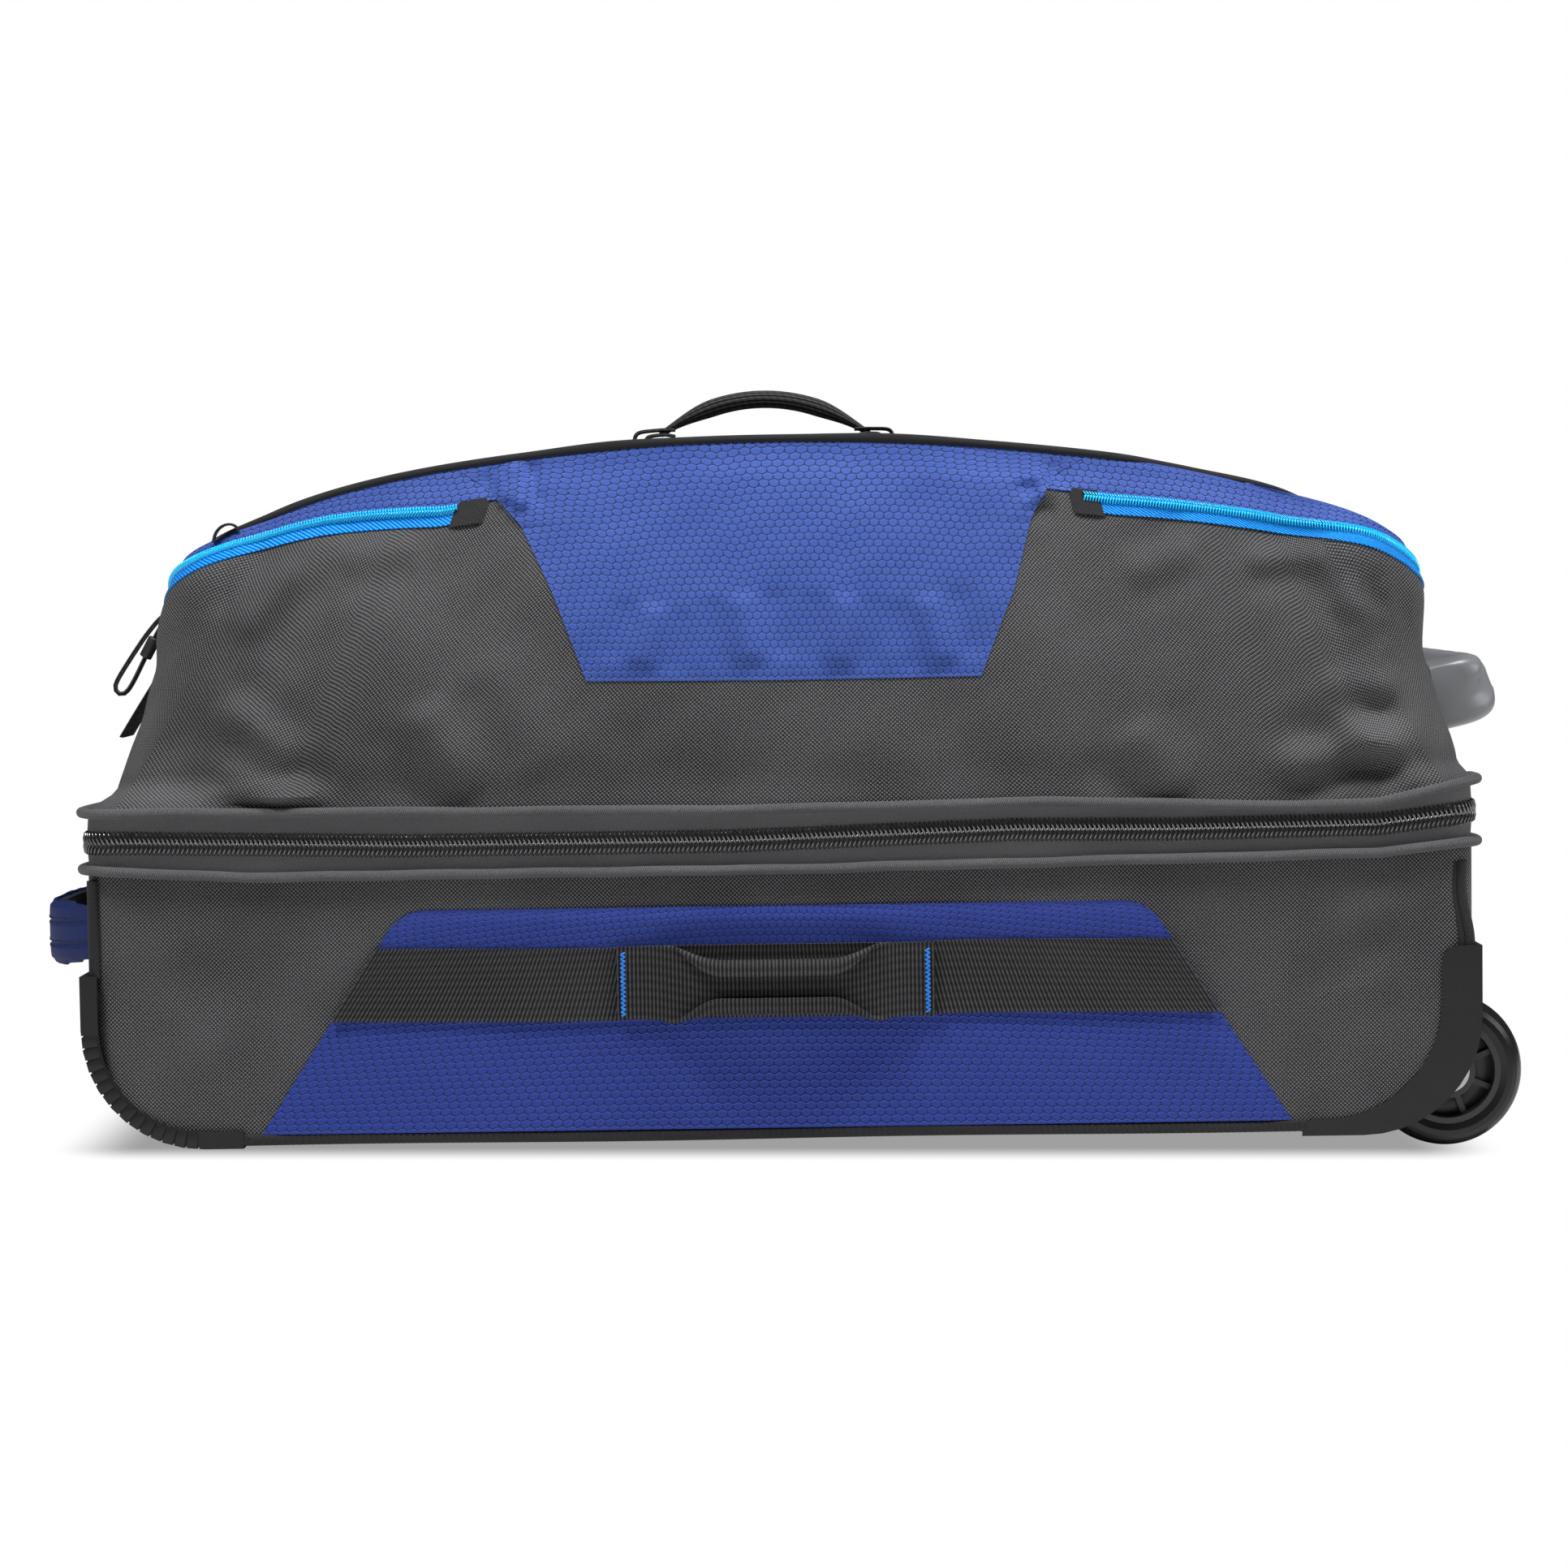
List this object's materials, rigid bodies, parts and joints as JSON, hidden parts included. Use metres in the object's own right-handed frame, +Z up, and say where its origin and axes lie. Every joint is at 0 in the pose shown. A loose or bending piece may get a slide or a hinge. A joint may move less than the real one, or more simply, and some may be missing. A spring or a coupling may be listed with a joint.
{
  "type": "rolling duffel bag",
  "caption": "Wheeled duffel with a boarded lower compartment, a soft upper compartment that swings open, a zipped lid, carry handles and a telescoping pull-handle.",
  "frame": {"origin": "on the floor the bag lies on, at the middle of its outline seen from above", "axes": "+X along the bag to the wheel end, +Y to the side the divider zip hinges on, -Y to the front, +Z up"},
  "size_m": [0.8069, 0.396, 0.398],
  "materials": {
    "charcoal_fabric": "matte",
    "upper_fabric": "matte",
    "blue_ripstop": "satin",
    "black_webbing": "matte",
    "black_piping": "satin",
    "dark_coil": "satin",
    "azure_coil": "gloss",
    "lining_board": "matte",
    "lining_fabric": "matte",
    "black_moulding": "satin",
    "grey_moulding": "satin",
    "wheel_tyre": "satin",
    "wheel_hub": "satin",
    "tube_metal": "satin",
    "pin_steel": "satin",
    "slider_metal": "satin",
    "grip_plastic": "matte"
  },
  "bodies": {
    "lower_body": {"lower_shell": "charcoal_fabric", "base_board": "lining_board", "lower_panels": "blue_ripstop", "webbing_band": "black_webbing", "lower_piping": "black_piping", "lower_zip_half": "dark_coil", "corner_guards": "black_moulding", "edge_bindings": "black_piping", "skid_rails": "black_moulding", "wheel_housing_front": "black_moulding", "wheel_housing_back": "black_moulding", "axles": "pin_steel", "handle_housing": "black_moulding", "outer_tubes": "tube_metal", "tube_bracket": "black_moulding", "tube_cover": "lining_fabric", "screws": "pin_steel"},
    "wheel_front": {"hub_front": "wheel_hub", "tyre_front": "wheel_tyre", "bearings_front": "pin_steel"},
    "wheel_back": {"hub_back": "wheel_hub", "tyre_back": "wheel_tyre", "bearings_back": "pin_steel"},
    "pull_stage_1": {"middle_tubes": "tube_metal", "middle_collars": "grip_plastic"},
    "pull_stage_2": {"inner_tubes": "tube_metal", "latch_blocks": "black_moulding", "grip_base": "grip_plastic", "grip_cover": "grip_plastic"},
    "release": {"release_button": "grey_moulding", "release_rods": "pin_steel"},
    "latch": {"latch_pins": "pin_steel"},
    "upper_body": {"upper_shell": "upper_fabric", "divider_panel": "lining_fabric", "upper_piping": "black_piping", "upper_zip_half": "dark_coil", "yoke": "blue_ripstop", "drop_panels": "blue_ripstop", "pocket_zip_left": "azure_coil", "pocket_zip_right": "azure_coil", "stand_foot": "grey_moulding", "lid_zip_outer": "dark_coil", "end_webbing": "black_webbing"},
    "lid_body": {"lid": "upper_fabric", "lid_zip_inner": "dark_coil"},
    "top_handle_body": {"top_handle": "black_webbing"},
    "side_handle_body": {"side_handle": "black_webbing"},
    "end_handle_body": {"end_handle": "blue_ripstop"},
    "divider_slider_front_body": {"divider_slider_front": "slider_metal"},
    "divider_pull_front_body": {"divider_pull_front": "slider_metal"},
    "divider_slider_back_body": {"divider_slider_back": "slider_metal"},
    "divider_pull_back_body": {"divider_pull_back": "slider_metal"},
    "lid_slider_front_body": {"lid_slider_front": "slider_metal"},
    "lid_pull_front_body": {"lid_pull_front": "slider_metal"},
    "lid_slider_back_body": {"lid_slider_back": "slider_metal"},
    "lid_pull_back_body": {"lid_pull_back": "slider_metal"},
    "pocket_slider_left_body": {"pocket_slider_left": "slider_metal"},
    "pocket_pull_left_body": {"pocket_pull_left": "slider_metal"},
    "pocket_slider_right_body": {"pocket_slider_right": "slider_metal"},
    "pocket_pull_right_body": {"pocket_pull_right": "slider_metal"}
  },
  "joints": [
    {"name": "wheel_front_spin", "type": "hinge", "parent": "lower_body", "child": "wheel_front", "pos_m": [0.36187, -0.15555, 0.04], "axis": [0, 1, 0], "continuous": true},
    {"name": "wheel_back_spin", "type": "hinge", "parent": "lower_body", "child": "wheel_back", "pos_m": [0.36187, 0.17725, 0.04], "axis": [0, 1, 0], "continuous": true},
    {"name": "pull_stage_1_slide", "type": "slide", "parent": "lower_body", "child": "pull_stage_1", "axis": [-0.9999, 0, -0.0146], "range_m": [0, 0.25]},
    {"name": "pull_stage_2_slide", "type": "slide", "parent": "pull_stage_1", "child": "pull_stage_2", "axis": [-0.9999, 0, -0.0146], "range_m": [0, 0.25]},
    {"name": "release_press", "type": "slide", "parent": "pull_stage_2", "child": "release", "axis": [0.9999, 0, 0.0146], "range_m": [0, 0.004], "stiffness_N_per_m": 700, "springref_m": -0.003},
    {"name": "latch_drop", "type": "slide", "parent": "pull_stage_2", "child": "latch", "axis": [0.0146, 0, -0.9999], "range_m": [0, 0.0024]},
    {"name": "divider_open", "type": "hinge", "parent": "lower_body", "child": "upper_body", "pos_m": [0.01303, 0.19485, 0.1629], "axis": [-0.9999, 0, -0.0146], "range_deg": [0, 105]},
    {"name": "lid_open", "type": "hinge", "parent": "upper_body", "child": "lid_body", "pos_m": [-0.2751, 0.01085, 0.31652], "axis": [0, -1, 0], "range_deg": [0, 115]},
    {"name": "top_handle_flop", "type": "hinge", "parent": "lid_body", "child": "top_handle_body", "pos_m": [0.01001, 0.01085, 0.36914], "axis": [0.9999, 0, 0.0146], "range_deg": [-60, 60]},
    {"name": "side_handle_flop", "type": "hinge", "parent": "lower_body", "child": "side_handle_body", "pos_m": [0.01412, -0.17615, 0.08841], "axis": [0.9999, 0, 0.0146], "range_deg": [-60, 60]},
    {"name": "end_handle_flop", "type": "hinge", "parent": "lower_body", "child": "end_handle_body", "pos_m": [-0.35016, 0.01085, 0.10508], "axis": [0, 1, 0], "range_deg": [-35, 35]},
    {"name": "divider_slider_front_run", "type": "slide", "parent": "lower_body", "child": "divider_slider_front_body", "axis": [0, -1, 0], "range_m": [0, 0.14]},
    {"name": "divider_pull_front_swing", "type": "hinge", "parent": "divider_slider_front_body", "child": "divider_pull_front_body", "pos_m": [0.38229, 0.00235, 0.16831], "axis": [0, -1, 0], "range_deg": [0, 150]},
    {"name": "divider_slider_back_run", "type": "slide", "parent": "lower_body", "child": "divider_slider_back_body", "axis": [0, 1, 0], "range_m": [0, 0.14]},
    {"name": "divider_pull_back_swing", "type": "hinge", "parent": "divider_slider_back_body", "child": "divider_pull_back_body", "pos_m": [0.38229, 0.01935, 0.16831], "axis": [0, -1, 0], "range_deg": [0, 150]},
    {"name": "lid_slider_front_run", "type": "slide", "parent": "lid_body", "child": "lid_slider_front_body", "axis": [0, -1, 0], "range_m": [0, 0.06]},
    {"name": "lid_pull_front_swing", "type": "hinge", "parent": "lid_slider_front_body", "child": "lid_pull_front_body", "pos_m": [0.26804, 0.00235, 0.35035], "axis": [0, -1, 0], "range_deg": [0, 150]},
    {"name": "lid_slider_back_run", "type": "slide", "parent": "lid_body", "child": "lid_slider_back_body", "axis": [0, 1, 0], "range_m": [0, 0.06]},
    {"name": "lid_pull_back_swing", "type": "hinge", "parent": "lid_slider_back_body", "child": "lid_pull_back_body", "pos_m": [0.26804, 0.01935, 0.35035], "axis": [0, -1, 0], "range_deg": [0, 150]},
    {"name": "pocket_slider_left_run", "type": "slide", "parent": "upper_body", "child": "pocket_slider_left_body", "axis": [0, 1, 0], "range_m": [0, 0.057]},
    {"name": "pocket_pull_left_swing", "type": "hinge", "parent": "pocket_slider_left_body", "child": "pocket_pull_left_body", "pos_m": [-0.31735, -0.07315, 0.27918], "axis": [0, 1, 0], "range_deg": [0, 150]},
    {"name": "pocket_slider_right_run", "type": "slide", "parent": "upper_body", "child": "pocket_slider_right_body", "axis": [0, -1, 0], "range_m": [0, 0.168]},
    {"name": "pocket_pull_right_swing", "type": "hinge", "parent": "pocket_slider_right_body", "child": "pocket_pull_right_body", "pos_m": [0.35664, 0.09485, 0.28831], "axis": [0, -1, 0], "range_deg": [0, 150]}
  ],
  "couplings": [
    {"joint": "latch_drop", "follows": "release_press", "ratio": 0.6}
  ]
}
